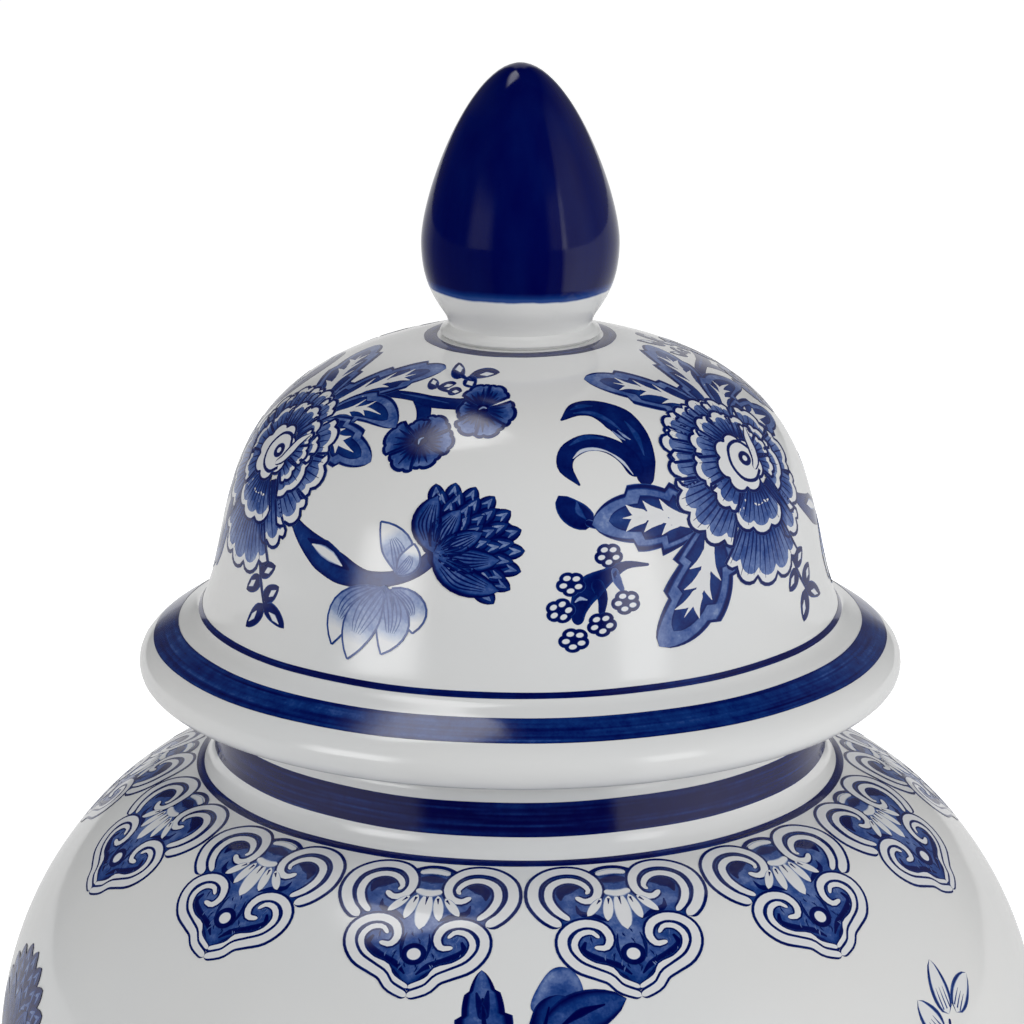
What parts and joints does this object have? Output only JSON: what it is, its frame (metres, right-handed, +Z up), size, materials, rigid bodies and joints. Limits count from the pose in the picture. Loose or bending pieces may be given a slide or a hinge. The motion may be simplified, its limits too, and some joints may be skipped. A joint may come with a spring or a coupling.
{
  "type": "ginger jar",
  "caption": "Footed baluster ginger jar with a domed, flanged lid and a bud finial, glazed white with blue floral decoration.",
  "frame": {"origin": "centre of the underside of the four foot pads, on the turning axis", "axes": "+Z up along the turning axis; the shape is turned, and -Y is the side that faces the viewer"},
  "size_m": [0.2606, 0.2606, 0.4709],
  "materials": {
    "vessel_glaze": "clear gloss over underglaze cobalt painting",
    "lid_glaze": "clear gloss over underglaze cobalt painting",
    "collar_bisque": "thin glaze, worn to bisque at the rubbing edge",
    "finial_glaze": "deep cobalt under clear gloss",
    "pad_felt": "pressed felt"
  },
  "bodies": {
    "jar": {"jar_body": "vessel_glaze", "foot_pad_1": "pad_felt", "foot_pad_2": "pad_felt", "foot_pad_3": "pad_felt", "foot_pad_4": "pad_felt"},
    "collar": {"lid_collar": "collar_bisque"},
    "lid": {"lid_cap": "lid_glaze", "finial": "finial_glaze"}
  },
  "joints": [
    {"name": "lid_lift", "type": "slide", "parent": "jar", "child": "collar", "axis": [0, 0, 1], "range_m": [0, 0.06]},
    {"name": "lid_turn", "type": "hinge", "parent": "collar", "child": "lid", "pos_m": [0, 0, 0.3163], "axis": [0, 0, 1], "continuous": true}
  ]
}
